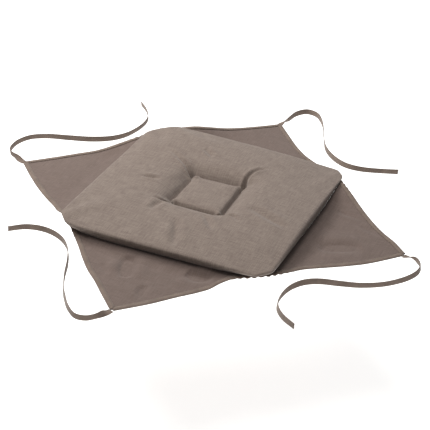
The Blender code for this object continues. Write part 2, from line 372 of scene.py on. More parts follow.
# ---- Outer edge: how the flaps' bound edges and the pad's four corners really lie. The tape is sewn
# on slightly short, so it draws the cloth in, lifts the corners and gathers the edges next to them.
joints = frame["record"]["behaviour"]["joints"]
right_hinge = next(joint["pos_m"] for joint in joints if joint["child"] == "right_flap")
PAD_HALF, SEAM_HEIGHT = right_hinge[0], right_hinge[2]
FLAP_DEPTH = TIP_REACH - PAD_HALF
FLAP_EDGES = {
    "front": ("right", "left"), "right": ("back", "front"),
    "back": ("left", "right"), "left": ("front", "back"),
}
# Along each bound edge, from the middle of the pad's corner (below 0) and the hinge line (0) to the
# flap's tip (1): (share of the edge, millimetres pulled in, millimetres above the table)
CORNER_SHARE = -(PAD_HALF - TIP_REACH / 2) / FLAP_DEPTH
CORNERS = {
    ("front", "left"): (5.5, 19.0), ("front", "right"): (4.0, 9.5),
    ("back", "right"): (0.0, 18.0), ("back", "left"): (0.0, 28.0),
}
EDGE_STOPS = {
    ("left", "front"): ((0, 4, 23), (.08, 3.5, 17), (.16, 3.5, 9.5), (.26, 4, 5), (.42, 0, 3),
                        (.6, -3, 2), (.8, -4, 2), (1, -3, 2)),
    ("left", "back"): ((0, 1, 24.5), (.10, -1, 19), (.25, -2, 11), (.40, -2, 4.5), (.6, -3, 2.6),
                       (.8, -3, 2), (1, -3, 2)),
    ("back", "left"): ((0, 1, 27), (.12, 1, 26.5), (.25, 3, 26), (.38, 1, 19), (.5, -1, 12),
                       (.62, -1, 8), (.8, -1, 5), (1, -1, 3)),
    ("back", "right"): ((0, -1, 17), (.08, -1, 13.5), (.18, 0, 8), (.3, 2, 4), (.46, 6, 2.5),
                        (.61, 5.5, 2), (.81, 1, 2), (1, -3, 3)),
    ("right", "back"): ((0, -1, 18), (.12, -1, 16), (.22, -1, 12.5), (.33, -1, 8), (.46, -1, 4.5),
                        (.7, -2, 3), (.85, -6, 3), (1, -6, 3)),
    ("right", "front"): ((0, 2.5, 9), (.14, 4, 8), (.26, 7.5, 6), (.42, 4, 4), (.58, -1, 3),
                         (.73, -3, 2), (.88, -2, 2), (1, 0, 2)),
    ("front", "right"): ((0, 5, 10), (.09, 10.5, 9.5), (.15, 12, 9), (.22, 11, 6.5), (.31, 5, 4),
                         (.4, 3, 3), (.53, 2, 2.5), (.73, -1.5, 2), (1, -2, 2)),
    ("front", "left"): ((0, 6.5, 14), (.09, 6.5, 8.5), (.18, 6, 5), (.35, 2, 3), (.51, 0, 2),
                        (.63, 1, 2), (.78, 0, 2), (1, -1, 2)),
}


def corner_of(side, edge):
    """The pad's corner at which a flap's bound edge starts."""
    return (side, edge) if side in ("front", "back") else (edge, side)


def smooth_through(stops, at):
    """A smooth curve through (place, value) stops, without overshoot between them."""
    places, values = np.array(stops, float).T
    slopes = np.gradient(values, places)
    steps = np.diff(values) / np.diff(places)
    for i in range(1, len(places) - 1):
        if steps[i - 1] * steps[i] <= 0:
            slopes[i] = 0.0
    at = np.clip(at, places[0], places[-1])
    k = np.clip(np.searchsorted(places, at) - 1, 0, len(places) - 2)
    width = places[k + 1] - places[k]
    t = (at - places[k]) / width
    return (values[k] * (1 + 2 * t) * (1 - t) ** 2 + slopes[k] * width * t * (1 - t) ** 2
            + values[k + 1] * t * t * (3 - 2 * t) + slopes[k + 1] * width * t * t * (t - 1))


def edge_shape(side, edge, share):
    """How far in and how high a bound edge lies at a share of its length, in metres."""
    corner_pull, corner_height = CORNERS[corner_of(side, edge)]
    stops = ((CORNER_SHARE, corner_pull, corner_height),) + EDGE_STOPS[side, edge]
    pull = smooth_through([(s, p) for s, p, _ in stops], share)
    height = smooth_through([(s, h) for s, _, h in stops], share)
    return pull * MM, height * MM


EDGE_FADE = 30 * MM
# Gathers: they die out over a share of the edge's length, and over a distance into the cloth
RIPPLE_LENGTH, RIPPLE_RISE = 10.5 * MM, 1.5 * MM
RIPPLE_SHARE, RIPPLE_FADE = 0.12, 10 * MM
EDGE_LENGTH = FLAP_DEPTH * math.sqrt(2)


def near_edges(plan):
    """For flat cut positions: how the cloth there is drawn in, how far it keeps to the bound edges
    beside it, those edges' height (times that share), and the distance to the nearest one."""
    shift, near, lift = np.zeros_like(plan), np.zeros(len(plan)), np.zeros(len(plan))
    gap = np.full(len(plan), np.inf)
    nearest = np.argmax([plan @ directions(side)[0] for side in SIDE_ANGLES], axis=0)
    for number, side in enumerate(SIDE_ANGLES):
        here = nearest == number
        out_way, over_way = directions(side)
        out, over = plan[here] @ out_way, plan[here] @ over_way
        for hand, edge in zip((1, -1), FLAP_EDGES[side]):
            share = (out - PAD_HALF + FLAP_DEPTH - hand * over) / (2 * FLAP_DEPTH)
            away = (TIP_REACH - out - hand * over) / math.sqrt(2)
            pull, height = edge_shape(side, edge, share)
            inside = np.maximum(away, 0)
            keep = np.exp(-(inside / EDGE_FADE) ** 2)
            gathered = RIPPLE_RISE * np.exp(-(share / RIPPLE_SHARE) ** 2 - inside / RIPPLE_FADE)
            ripple = gathered * np.sin(2 * math.pi * share * EDGE_LENGTH / RIPPLE_LENGTH)
            shift[here] -= (keep * pull)[:, None] * (out_way + hand * over_way) / math.sqrt(2)
            near[here] += keep
            lift[here] += keep * height + ripple
            gap[here] = np.minimum(gap[here], away)
    return shift, near, lift, gap


SEAM_LEVEL = 65 * MM


def seam_height(side, along):
    """Height of a side seam: level along its middle, and up or down to the corners at its ends."""
    high, low = (edge_shape(side, edge, 0.0)[1] for edge in FLAP_EDGES[side])
    reach = ease((np.abs(along) - SEAM_LEVEL) / (FLAP_DEPTH - SEAM_LEVEL))
    return SEAM_HEIGHT + (np.where(np.asarray(along) > 0, high, low) - SEAM_HEIGHT) * reach


# ---- Cushion cover: two squares of a matt polyester-cotton cloth, sewn round and stuffed. The top
# crowns over the wadding and is quilted down in a square at its middle; the bottom lies flat.
HALF_QUILT = 48 * MM
INNER_CELLS, OUTER_CELLS = 16, 34
# From the quilting out to the side seam, in millimetres: the top stays nearly flat to a crisp edge,
# and is undercut below it; the front edge is the lowest
SECTIONS = {
    "front": ((48, 36.2), (85, 36.6), (120, 35.8), (150, 33.6), (172, 30.8), (183, 28.6), (187.4, 25.6),
              (186.2, 19), (183, 12.6), (180, 9)),
    "right": ((48, 36.2), (85, 36.6), (120, 36.6), (150, 36.2), (170, 35.2), (179, 33.8), (184, 30.8),
              (183.6, 23), (181.6, 14), (180, 9)),
    "back": ((48, 36.2), (85, 37.2), (120, 38.0), (150, 38.0), (168, 36.8), (180, 33.6), (187, 28.4),
             (187, 21), (183.5, 14), (180, 9)),
    "left": ((48, 36.2), (85, 36.6), (120, 36.8), (150, 36.4), (168, 35.4), (177, 33.8), (181.5, 30),
             (182, 21), (181.4, 14), (180, 9)),
}
CROWN_RISE = 27.4 * MM
# How steeply two sides' sections turn into one another at a corner
CRISP = 4.0
# Beside a cut corner the cover stays down under the tape, then bulges up to its full height
TUCK_WIDTH, CORNER_BULGE = 6.5 * MM, 1.7
# How far in from a cut corner the cover reaches its full height, in millimetres
CORNER_SLOPES = {(-1, -1): 16, (1, -1): 15, (1, 1): 20, (-1, 1): 38}
# The two right-hand corners hold less stuffing and lie lower: depth and reach in millimetres
CORNER_SAGS = {(1, -1): (9, 62), (1, 1): (15, 88)}
# The quilting's depth at its line and inside it; how far it reaches outward, and inward
SINK_AT_LINE, SINK_INSIDE = 23.0 * MM, 9.8 * MM
SINK_REACH_NEAR, SINK_REACH_FAR, SINK_CURVE = 10 * MM, 12 * MM, 1.25
SINK_LIP = 2.2 * MM
# On its near sides the stuffed cloth stands out over the stitches
OVERHANG, OVERHANG_AT = 0.8 * MM, 4 * MM
# How the sewn square really lies, against a true one: each corner's shift in millimetres
QUILT_SHIFTS = {(-1, -1): (4, 4), (-1, 1): (3, 7), (1, 1): (-5, 8), (1, -1): (-1, -1)}
QUILT_SHIFT_REACH = 62 * MM
# A bunch of wadding a little behind the left end of the back seam
BUNCH_AT, BUNCH_REACH, BUNCH_RISE = (-90 * MM, 168 * MM), 62 * MM, 5 * MM
# How far each side's lip stands out or in beyond its section, at its two ends and middle, clockwise
# end first, in millimetres
LIPS = {"front": (0, 2, 3), "right": (2, 1, -3), "back": (2, 8, 5), "left": (0, 0, -2)}
LIP_AT, LIP_REACH = 0.9, 15 * MM


def cloth_material(name, dark, pale):
    """Plain-woven polyester-cotton: matt, slubby threads both ways, and a faint nap."""
    material, tree = new_material(name)
    place = add_node(tree, "ShaderNodeUVMap", uv_map="cloth").outputs[0]
    slubs = []
    # A slub is 1.6 mm wide and 20 to 24 mm long
    for stretch in ((1 / (24 * MM), 1 / (1.6 * MM), 1.0), (1 / (1.6 * MM), 1 / (20 * MM), 1.0)):
        drawn = add_node(tree, "ShaderNodeMapping", {"Vector": place, "Scale": stretch})
        slubs.append(noise(tree, drawn.outputs[0], 1.0, Detail=2.0, Roughness=0.6))
    slub = calculate(tree, "ADD", *slubs)
    # Slubs make most of the tone and a faint cloud the rest; together they run from 0.90 to 1.35
    cloud = noise(tree, place, 40.0, Detail=3.0)
    share = add_node(tree, "ShaderNodeMapRange", {
        "Value": calculate(tree, "MULTIPLY_ADD", cloud, 0.25, slub), "From Min": 0.90, "From Max": 1.35,
    })
    # Threads lie 0.45 mm apart; they are drawn 1.1 mm apart, which is as fine as a close view shows
    weave = crossed_threads(tree, place, 1.1 * MM, 0.8, 1.5)
    height = calculate(tree, "MULTIPLY_ADD", slub, 0.7, weave)
    finish_material(tree, {
        "Base Color": two_tone(tree, share.outputs[0], dark, pale), "Roughness": 0.9,
        "Specular IOR Level": 0.25, "Sheen Weight": 0.2, "Sheen Roughness": 0.6,
        "Normal": bump(tree, height, 0.3, 0.25 * MM),
    })
    return material


COVER_CLOTH = cloth_material("plain_woven_cover_cloth", "#6B5D55", "#81746A")


def mesh_object(name, points, faces, material, cut=None):
    """A mesh object; cut holds each point's place on the flat cloth, in metres, for its weave."""
    mesh = bpy.data.meshes.new(name)
    mesh.from_pydata(np.asarray(points).tolist(), [], faces)
    if cut is not None:
        layer = mesh.uv_layers.new(name="cloth")
        corners = np.empty(len(mesh.loops), np.int32)
        mesh.loops.foreach_get("vertex_index", corners)
        layer.data.foreach_set("uv", np.asarray(cut, float)[corners].ravel())
    mesh.shade_smooth()
    mesh.materials.append(material)
    return put_in_scene(name, mesh)


def grid_faces(rows, columns):
    """Quads of a grid of points that are listed row by row."""
    return [
        (k, k + columns, k + columns + 1, k + 1)
        for a in range(rows - 1) for k in range(a * columns, (a + 1) * columns - 1)
    ]


def points_of(thing):
    flat = np.empty(len(thing.data.vertices) * 3)
    thing.data.vertices.foreach_get("co", flat)
    return flat.reshape(-1, 3)


def normals_of(thing):
    return np.array([v.normal for v in thing.data.vertices])


def set_points(thing, points):
    thing.data.vertices.foreach_set("co", np.asarray(points, np.float32).ravel())
    thing.data.update()


def apply_modifiers(thing):
    """Turn a thing's evaluated mesh into its own plain mesh."""
    graph = bpy.context.evaluated_depsgraph_get()
    graph.update()
    made = bpy.data.meshes.new_from_object(thing.evaluated_get(graph), depsgraph=graph)
    thing.modifiers.clear()
    old, thing.data = thing.data, made
    bpy.data.meshes.remove(old)


def thicken(thing, thickness, offset):
    wall = thing.modifiers.new("cloth_thickness", "SOLIDIFY")
    wall.thickness, wall.offset = thickness, offset
    apply_modifiers(thing)


def crease_rise(plan, creases, from_start=False):
    """Rise of the cloth at plan positions from creases, which fade at both ends or at the far one.

    Each crease is (depth, half width, route), in millimetres.
    """
    rise = np.zeros(len(plan))
    for depth, half_width, route in creases:
        line = even_curve(np.array(route) * MM, 2 * MM)
        away = np.linalg.norm(plan[:, None, :] - line[None, :, :], axis=2)
        at = away.argmin(axis=1)
        away = away[np.arange(len(plan)), at]
        share = at / (len(line) - 1)
        strength = (1 - share) ** 0.8 if from_start else np.sin(math.pi * share) ** 0.7
        width = half_width * MM
        # The cloth pushed out of a crease stands up a little on both sides of it
        shoulder = 0.3 * np.exp(-((away - 2.1 * width) / (1.1 * width)) ** 2)
        rise += depth * MM * strength * (shoulder - np.exp(-(away / width) ** 2))
    return rise


def half_axis(section, sign):
    """Half an axis of the cover's grid, one row of values for each of:

    plain place, drawn place, share of the rise, share of the lip, place on the flat cloth.
    """
    fine, walked = smooth_line(np.array(section) * MM)
    steps = np.linspace(0, 1, OUTER_CELLS + 1)[1:]
    # Closer together beside the quilting and at the lip than half-way
    shares = steps - 0.25 * np.sin(2 * math.pi * steps) / (2 * math.pi)
    outer = read_line(fine, walked, shares * walked[-1])
    inner = np.linspace(0, HALF_QUILT, INNER_CELLS + 1)
    lip = np.exp(-((shares - LIP_AT) * walked[-1] / LIP_REACH) ** 2)
    lip[-1] = 0.0
    return np.stack([
        sign * np.concatenate([inner, HALF_QUILT + shares * (PAD_HALF - HALF_QUILT)]),
        sign * np.concatenate([inner, outer[:, 0]]),
        np.concatenate([np.ones(INNER_CELLS + 1), (outer[:, 1] - SEAM_HEIGHT) / CROWN_RISE]),
        np.concatenate([0 * inner, lip]),
        sign * np.concatenate([inner, HALF_QUILT + shares * walked[-1]]),
    ])


def whole_axis(low_section, high_section):
    return np.concatenate([half_axis(low_section, -1)[:, :0:-1], half_axis(high_section, 1)], axis=1)


# Left to right, and front to back
x_axis = whole_axis(SECTIONS["left"], SECTIONS["right"])
y_axis = whole_axis(SECTIONS["front"], SECTIONS["back"])
COUNT = x_axis.shape[1]
i, j = (k.ravel() for k in np.meshgrid(range(COUNT), range(COUNT), indexing="ij"))
x_flat, x_drawn, x_rise, x_lip, x_cloth = x_axis[:, i]
y_flat, y_drawn, y_rise, y_lip, y_cloth = y_axis[:, j]
cover_faces = grid_faces(COUNT, COUNT)
cover_cut = np.column_stack([x_cloth, y_cloth])
# The corners are cut off square to the diagonal, where the tape crosses them
flat_plan = np.column_stack([x_flat, y_flat])
cut_share = np.clip((np.abs(flat_plan).min(axis=1) - FLAP_DEPTH) / (PAD_HALF - FLAP_DEPTH), 0, 1)
flat_plan = flat_plan - np.sign(flat_plan) * (cut_share * (PAD_HALF - FLAP_DEPTH) / 2)[:, None]

# A side seam's height counts more the nearer it is, from about this far, and evenly within 2 mm
SEAM_PULL, SEAM_NEAR = 45 * MM, 2 * MM


def pad_rest(plan):
    """Where the covers lie if nothing is between them: height, plan shift, how full a place is."""
    total, weight = SEAM_HEIGHT / SEAM_PULL ** 2, 1 / SEAM_PULL ** 2
    for side in SIDE_ANGLES:
        out_way, over_way = directions(side)
        away = PAD_HALF - plan @ out_way
        count = 1 / (away ** 2 + SEAM_NEAR ** 2)
        total = total + count * seam_height(side, plan @ over_way)
        weight = weight + count
    base = total / weight
    shift, near, lift, gap = near_edges(plan)
    base = base + (lift - near * base) / np.maximum(1, near)
    slope = sum(
        ((sx * plan[:, 0] > 0) & (sy * plan[:, 1] >= 0)) * width
        for (sx, sy), width in CORNER_SLOPES.items()
    )
    up_slope = np.clip((gap - TUCK_WIDTH) / (np.maximum(slope, 1) * MM), 0, 1)
    return base, shift, 1 - (1 - up_slope) ** CORNER_BULGE


base, shift, full = pad_rest(flat_plan)
# Where two sides meet, the lower of their rises counts most, which keeps the corner crisp
together = (np.maximum(x_rise, 1e-3) ** -CRISP + np.maximum(y_rise, 1e-3) ** -CRISP - 1) ** (-1 / CRISP)
rise = together * full
plan = flat_plan + shift
plan[:, 0] += (x_drawn - x_flat) * np.minimum(1, y_rise * 3) * full
plan[:, 1] += (y_drawn - y_flat) * np.minimum(1, x_rise * 3) * full
for side, stand in LIPS.items():
    out_way, over_way = directions(side)
    lip = np.abs(out_way[0]) * x_lip * y_rise + np.abs(out_way[1]) * y_lip * x_rise
    lip = lip * (flat_plan @ out_way > 0) * np.sqrt(full)
    stands = smooth_through(((-FLAP_DEPTH, stand[0]), (0, stand[1]), (FLAP_DEPTH, stand[2])),
                            flat_plan @ over_way)
    plan += (lip * stands * MM)[:, None] * out_way

from_line = np.maximum(np.abs(flat_plan) - HALF_QUILT, 0)
outside = np.hypot(from_line[:, 0], from_line[:, 1])
inside = np.maximum(HALF_QUILT - np.abs(flat_plan).max(axis=1), 0)
# The stuffing stands up more steeply in front and on the right of the quilting than elsewhere
far_share = ease(((y_flat - x_flat) / HALF_QUILT + 1) / 2)
sink_reach = SINK_REACH_NEAR + (SINK_REACH_FAR - SINK_REACH_NEAR) * far_share
sink = np.where(
    outside > 0, SINK_AT_LINE * np.exp(-(outside / sink_reach) ** SINK_CURVE),
    SINK_INSIDE + (SINK_AT_LINE - SINK_INSIDE) * np.exp(-inside / SINK_LIP),
)
places = np.clip(flat_plan / HALF_QUILT, -1, 1)
drawn = sum(
    ((1 + sx * places[:, 0]) * (1 + sy * places[:, 1]) / 4)[:, None] * np.array(moved) * MM
    for (sx, sy), moved in QUILT_SHIFTS.items()
)
drawn *= (1 - ease(outside / QUILT_SHIFT_REACH))[:, None]
over_line = OVERHANG * np.exp(-((outside - OVERHANG_AT) / OVERHANG_AT) ** 2) * (outside > 0)
drawn[:, 0] -= over_line * (x_flat > HALF_QUILT) * (np.abs(y_flat) <= HALF_QUILT)
drawn[:, 1] += over_line * (y_flat < -HALF_QUILT) * (np.abs(x_flat) <= HALF_QUILT)
bunched = np.exp(-(np.linalg.norm(flat_plan - BUNCH_AT, axis=1) / BUNCH_REACH) ** 2)
top = base + (SEAM_HEIGHT + CROWN_RISE - base) * rise + BUNCH_RISE * bunched * rise - sink
for (sx, sy), (depth, reach) in CORNER_SAGS.items():
    from_corner = np.hypot(flat_plan[:, 0] - sx * PAD_HALF, flat_plan[:, 1] - sy * PAD_HALF)
    top -= depth * MM * np.exp(-(from_corner / (reach * MM)) ** 2) * rise
top_points = np.column_stack([plan + drawn, top])

cover_top = mesh_object("cover_top", top_points, cover_faces, COVER_CLOTH, cover_cut)

# Stuffing presses the cloth out between its seams: a short cloth simulation under pressure, held
# at the side seams, along the tape and along the quilting. Beside the stitches it swells least.
PRESSURE, SHRINK, SIM_FRAMES = 4.0, 0.004, 20
# The most that it swells, the share of that beside the quilting, and how far that reaches
SWELL_CAP, SWELL_AT_QUILT, SWELL_REACH = 4 * MM, 0.2, 24 * MM
from_quilt = np.maximum(outside, inside)
on_quilt = np.isclose(np.abs(flat_plan).max(axis=1), HALF_QUILT, atol=0.1 * MM)
on_seam = (np.maximum(i, COUNT - 1 - i) >= COUNT - 2) | (np.maximum(j, COUNT - 1 - j) >= COUNT - 2)
# The edge of the top is pressed to a crisp line, except where it has come down to a corner
EDGE_LIP, EDGE_RISE = 0.95, 0.4
on_edge = (x_lip > EDGE_LIP) & (y_rise > EDGE_RISE) | (y_lip > EDGE_LIP) & (x_rise > EDGE_RISE)
held = np.flatnonzero(on_quilt | on_seam | on_edge | (full <= 0))
group = cover_top.vertex_groups.new(name="sewn_down")
group.add(held.tolist(), 1.0, "REPLACE")
cloth = cover_top.modifiers.new("stuffed_cloth", "CLOTH")
settings = cloth.settings
settings.quality = 5
settings.mass = 0.25
settings.tension_stiffness = settings.compression_stiffness = 25.0
settings.shear_stiffness = 12.0
settings.bending_stiffness = 2.5
settings.vertex_group_mass = "sewn_down"
settings.use_pressure = True
settings.uniform_pressure_force = PRESSURE
settings.shrink_min = SHRINK
settings.effector_weights.gravity = 0.0
cloth.point_cache.frame_start, cloth.point_cache.frame_end = 1, SIM_FRAMES
for number in range(1, SIM_FRAMES + 1):
    bpy.context.scene.frame_set(number)
graph = bpy.context.evaluated_depsgraph_get()
swollen = points_of(cover_top.evaluated_get(graph))
cover_top.modifiers.clear()
bpy.context.scene.frame_set(1)
moved = swollen - top_points
length = np.linalg.norm(moved, axis=1)[:, None]
share = SWELL_AT_QUILT + (1 - SWELL_AT_QUILT) * ease(from_quilt / SWELL_REACH)
cap = (SWELL_CAP * share)[:, None]
capped = cap * np.tanh(length / cap)
set_points(cover_top, top_points + moved * capped / np.maximum(length, 1e-9))

settled, settled_ways = points_of(cover_top), normals_of(cover_top)
cover_top.modifiers.new("finer", "SUBSURF").levels = 1
apply_modifiers(cover_top)

# Folds that run out from the quilting's corners, and creases that lie on their own
CORNER_FOLDS = (
    (7.0, 3.0, ((46, 54), (44, 64), (44, 78), (50, 99), (66, 116))),
    (8.0, 3.0, ((46, -50), (56, -57), (72, -58), (90, -72))),
    (8.0, 3.2, ((-42, -45), (-52, -54), (-70, -58))),
    (8.0, 3.4, ((-43, 52), (-60, 63), (-86, 80), (-106, 92))),
)
COVER_CREASES = (
    (4.2, 5.5, ((-48, -60), (-52, -75), (-54, -97))),
    (3.6, 4.5, ((-57, 126), (-44, 116), (-33, 105))),
    (3.6, 4.0, ((-112, -6), (-97, -4), (-82, -1))),
    (3.0, 5.0, ((30, -74), (45, -92), (60, -112))),
    (4.4, 6.5, ((-4, -106), (10, -138), (24, -174))),
    (4.4, 7.0, ((88, -22), (125, -38), (162, -54))),
)


def cover_creases(plan):
    return crease_rise(plan, CORNER_FOLDS, from_start=True) + crease_rise(plan, COVER_CREASES)


points = points_of(cover_top)
creased = cover_creases(points[:, :2])
set_points(cover_top, points + normals_of(cover_top) * creased[:, None])
CLOTH_THICK = 0.7 * MM
thicken(cover_top, CLOTH_THICK, -1.0)
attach(cover_top, "pad")
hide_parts("top_cover")

# The bottom cover lies on the table, rounds up to the seams, and is drawn up at the quilting
FLOOR_LIFT, BOTTOM_ROUND = 0.4 * MM, 30 * MM
QUILT_LIFT, QUILT_LIFT_REACH = 2.6 * MM, 6 * MM
lie = 1 - ease((np.abs(flat_plan) - PAD_HALF + BOTTOM_ROUND) / BOTTOM_ROUND)
lie = lie[:, 0] * lie[:, 1] * full
low = base + (FLOOR_LIFT - base) * lie + QUILT_LIFT * np.exp(-(from_quilt / QUILT_LIFT_REACH))
bottom_points = np.column_stack([flat_plan + shift + drawn, low])
cover_bottom = mesh_object(
    "cover_bottom", bottom_points, [face[::-1] for face in cover_faces], COVER_CLOTH, cover_cut,
)
thicken(cover_bottom, CLOTH_THICK, -1.0)
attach(cover_bottom, "pad")
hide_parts("bottom_cover")


# ---- Flaps: single triangles of the cover's cloth, sewn in at the pad's sides, that fold over the
# chair seat's edges. They lie nearly flat, pulled about by the tape on their edges.
FLAP_ROWS, FLAP_COLUMNS = 84, 120
SHEET_REST, SHEET_LOWEST = 3.4 * MM, 0.9 * MM
# The cloth starts just outside its seam, and stops short of the tape's folds and of the tip
SHEET_START, SHEET_EDGE, SHEET_TIP = 0.2 * MM, 0.8 * MM, 4 * MM
# Creases run out before they reach the bound edges
CREASE_ROOM = 16 * MM
# Over how far from its seam each flap comes down to the table
FLAP_RUNS = {"front": 36 * MM, "right": 36 * MM, "back": 45 * MM, "left": 45 * MM}
FLAP_CREASES = {
    "right": (
        (2.0, 4.0, ((168, 160), (190, 148), (214, 136))),
        (2.2, 5.0, ((203, 82), (230, 77), (258, 73))),
        (2.6, 6.0, ((249, 55), (275, 47), (300, 39))),
        (1.6, 4.0, ((293, 28), (305, 22), (318, 18))),
        (5.5, 13.0, ((212, -42), (240, -25), (275, -8))),
        (1.2, 3.0, ((315, 17), (326, 11), (338, 5))),
    ),
    "front": (
        (4.0, 6.0, ((-74, -234), (-62, -246), (-49, -256))),
        (9.0, 10.0, ((-40, -198), (-31, -224), (-22, -254))),
        (4.5, 7.0, ((13, -262), (19, -280), (26, -298))),
        (2.0, 4.0, ((-60, -262), (-48, -276), (-33, -291))),
        (8.0, 11.0, ((58, -200), (80, -206), (106, -200))),
    ),
    "left": (
        (0.8, 4.0, ((-328, -14), (-319, -10), (-310, -7))),
        (0.9, 6.0, ((-290, -47), (-276, -39), (-259, -31))),
        (1.0, 6.0, ((-258, -69), (-246, -65), (-236, -62))),
        (1.0, 6.0, ((-238, -86), (-228, -87), (-217, -88))),
    ),
    "back": ((0.8, 9.0, ((60, 215), (80, 224), (104, 226))),),
}


def flap_surface(side, plan):
    """Where a flap's cloth lies for positions on its flat cut: it starts at the seam and settles."""
    out_way, over_way = directions(side)
    out, over = plan @ out_way - PAD_HALF, plan @ over_way
    start = seam_height(side, over)
    inner = SHEET_REST + (start - SHEET_REST) * (1 - ease(out / FLAP_RUNS[side]))
    shift, near, lift, gap = near_edges(plan)
    inner += crease_rise(plan, FLAP_CREASES[side]) * ease(gap / CREASE_ROOM)
    height = inner + (lift - near * inner) / np.maximum(1, near)
    return np.column_stack([plan + shift, np.maximum(height, SHEET_LOWEST)])


# The flaps are the cover's own cloth. Their darker colours are painted shade, standing in for the lower
# light on the flaps lying beside the stuffed pad.
FLAP_CLOTH_PAINTED_SHADE = cloth_material("plain_woven_flap_cloth_painted_shade", "#5F5048", "#6D5D56")
for side in SIDE_ANGLES:
    out_way, over_way = directions(side)
    outs = np.linspace(SHEET_START, FLAP_DEPTH - SHEET_TIP, FLAP_ROWS)
    half_widths = FLAP_DEPTH - outs - SHEET_EDGE * math.sqrt(2)
    spread = np.linspace(-1, 1, FLAP_COLUMNS)
    over = (half_widths[:, None] * spread[None, :]).ravel()
    out = np.repeat(outs, FLAP_COLUMNS)
    plan = (out + PAD_HALF)[:, None] * out_way + over[:, None] * over_way
    flap = mesh_object(f"flap_sheet_{side}", flap_surface(side, plan),
                       grid_faces(FLAP_ROWS, FLAP_COLUMNS), FLAP_CLOTH_PAINTED_SHADE, np.column_stack([over, out]))
    thicken(flap, CLOTH_THICK, 0.0)
    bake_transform(flap)
    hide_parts(f"flap_{side}")


# ---- Edge binding: the same bias tape as the ties, folded over the flaps' edges and the pad's cut
# corners and sewn through. It runs from the middle of a corner to a tip.
TAPE_FOLD = 8.4  # how far in the folded tape reaches
# Its section, in millimetres in from the edge and up from the cloth: out round the fold, and back
TAPE_STATIONS = (
    (TAPE_FOLD, 1.15), (4.0, 1.2), (0.6, 1.05), (-0.35, 0.0), (0.6, -1.05), (4.0, -1.2),
    (TAPE_FOLD, -1.15), (TAPE_FOLD, -0.62), (4.0, -0.6), (0.9, -0.45), (0.55, 0.0), (0.9, 0.45),
    (4.0, 0.6), (TAPE_FOLD, 0.62),
)
BINDING_STEP = 2.5 * MM
TIP_STOP = 3 * MM
MITRE_GAP, MITRE_LAP = 0.2 * MM, 1 * MM


def rest_surface(side, plan):
    """The cloth's middle where the tape holds it: the flap's, and inside the hinge line the covers'."""
    on_flap = flap_surface(side, plan)
    height, shift, _ = pad_rest(plan)
    on_pad = np.column_stack([plan + shift, height])
    out = plan @ directions(side)[0] - PAD_HALF
    return np.where((out > 0)[:, None], on_flap, on_pad)


def binding_line(side, edge, away):
    """Points of the cloth at a distance in from a bound edge, from the corner's middle to the tip."""
    hand = 1 if FLAP_EDGES[side][0] == edge else -1
    out_way, over_way = directions(side)
    first, last = CORNER_SHARE * FLAP_DEPTH, FLAP_DEPTH - TIP_STOP
    out = np.linspace(first, last, round((last - first) * math.sqrt(2) / BINDING_STEP) + 1)
    plan = (PAD_HALF + out)[:, None] * out_way + (hand * (FLAP_DEPTH - out))[:, None] * over_way
    inward = -(out_way + hand * over_way) / math.sqrt(2)
    # Near the tip the line stays on its own half, so that the two tapes meet along the middle
    room = np.maximum(FLAP_DEPTH - out, 0) * math.sqrt(2)
    plan = plan + np.minimum(away, np.maximum(room - MITRE_GAP, -MITRE_LAP))[:, None] * inward
    return rest_surface(side, plan)


def binding_frame(side, edge):
    """The tape's upward direction at each point of its line."""
    fold, inner = binding_line(side, edge, 0.0), binding_line(side, edge, TAPE_FOLD * MM)
    run = tangents(fold)
    inward = inner - fold
    inward -= (inward * run).sum(axis=1)[:, None] * run
    inward /= np.maximum(np.linalg.norm(inward, axis=1), 1e-9)[:, None]
    up = np.cross(run, inward)
    up *= np.sign(up[:, 2])[:, None]
    return up


for side in SIDE_ANGLES:
    for edge in FLAP_EDGES[side]:
        up = binding_frame(side, edge)
        rows = np.stack([
            binding_line(side, edge, away * MM) + up * through * MM for away, through in TAPE_STATIONS
        ], axis=1)
        binding = tape_piece(f"edge_tape_{side}_{edge}", rows, TAPE_CLOTH)
        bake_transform(binding)
        front_or_back, left_or_right = corner_of(side, edge)
        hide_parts(f"binding_{side}_flap_{edge}",
                    f"corner_binding_{front_or_back}_{left_or_right}")


# ---- Thread: spun polyester in the cloth's colour, in rows of lockstitch. Each row is a line with
# an upward direction at each point, and the stitches are set along it, dipping in at both ends.
STITCH_PITCH, STITCH_LENGTH, THREAD = 3.1 * MM, 2.6 * MM, 0.5 * MM


def thread_material():
    """Spun polyester: shinier than the cloth, and twisted; its pale flecks are painted highlights, in
    place of light caught on the twist.
    """
    material, tree = new_material("spun_polyester_thread")
    place = add_node(tree, "ShaderNodeTexCoord").outputs["Object"]
    # Painted highlight flecks, one for each twist, every 0.6 mm
    painted_twist_highlight = noise(tree, place, 1 / (0.6 * MM), Detail=1.0)
    finish_material(tree, {
        "Base Color": two_tone(tree, painted_twist_highlight, "#64574E", "#857970", 0.35, 0.65),
        "Roughness": 0.6, "Specular IOR Level": 0.4,
    })
    return material


SPUN_THREAD = thread_material()


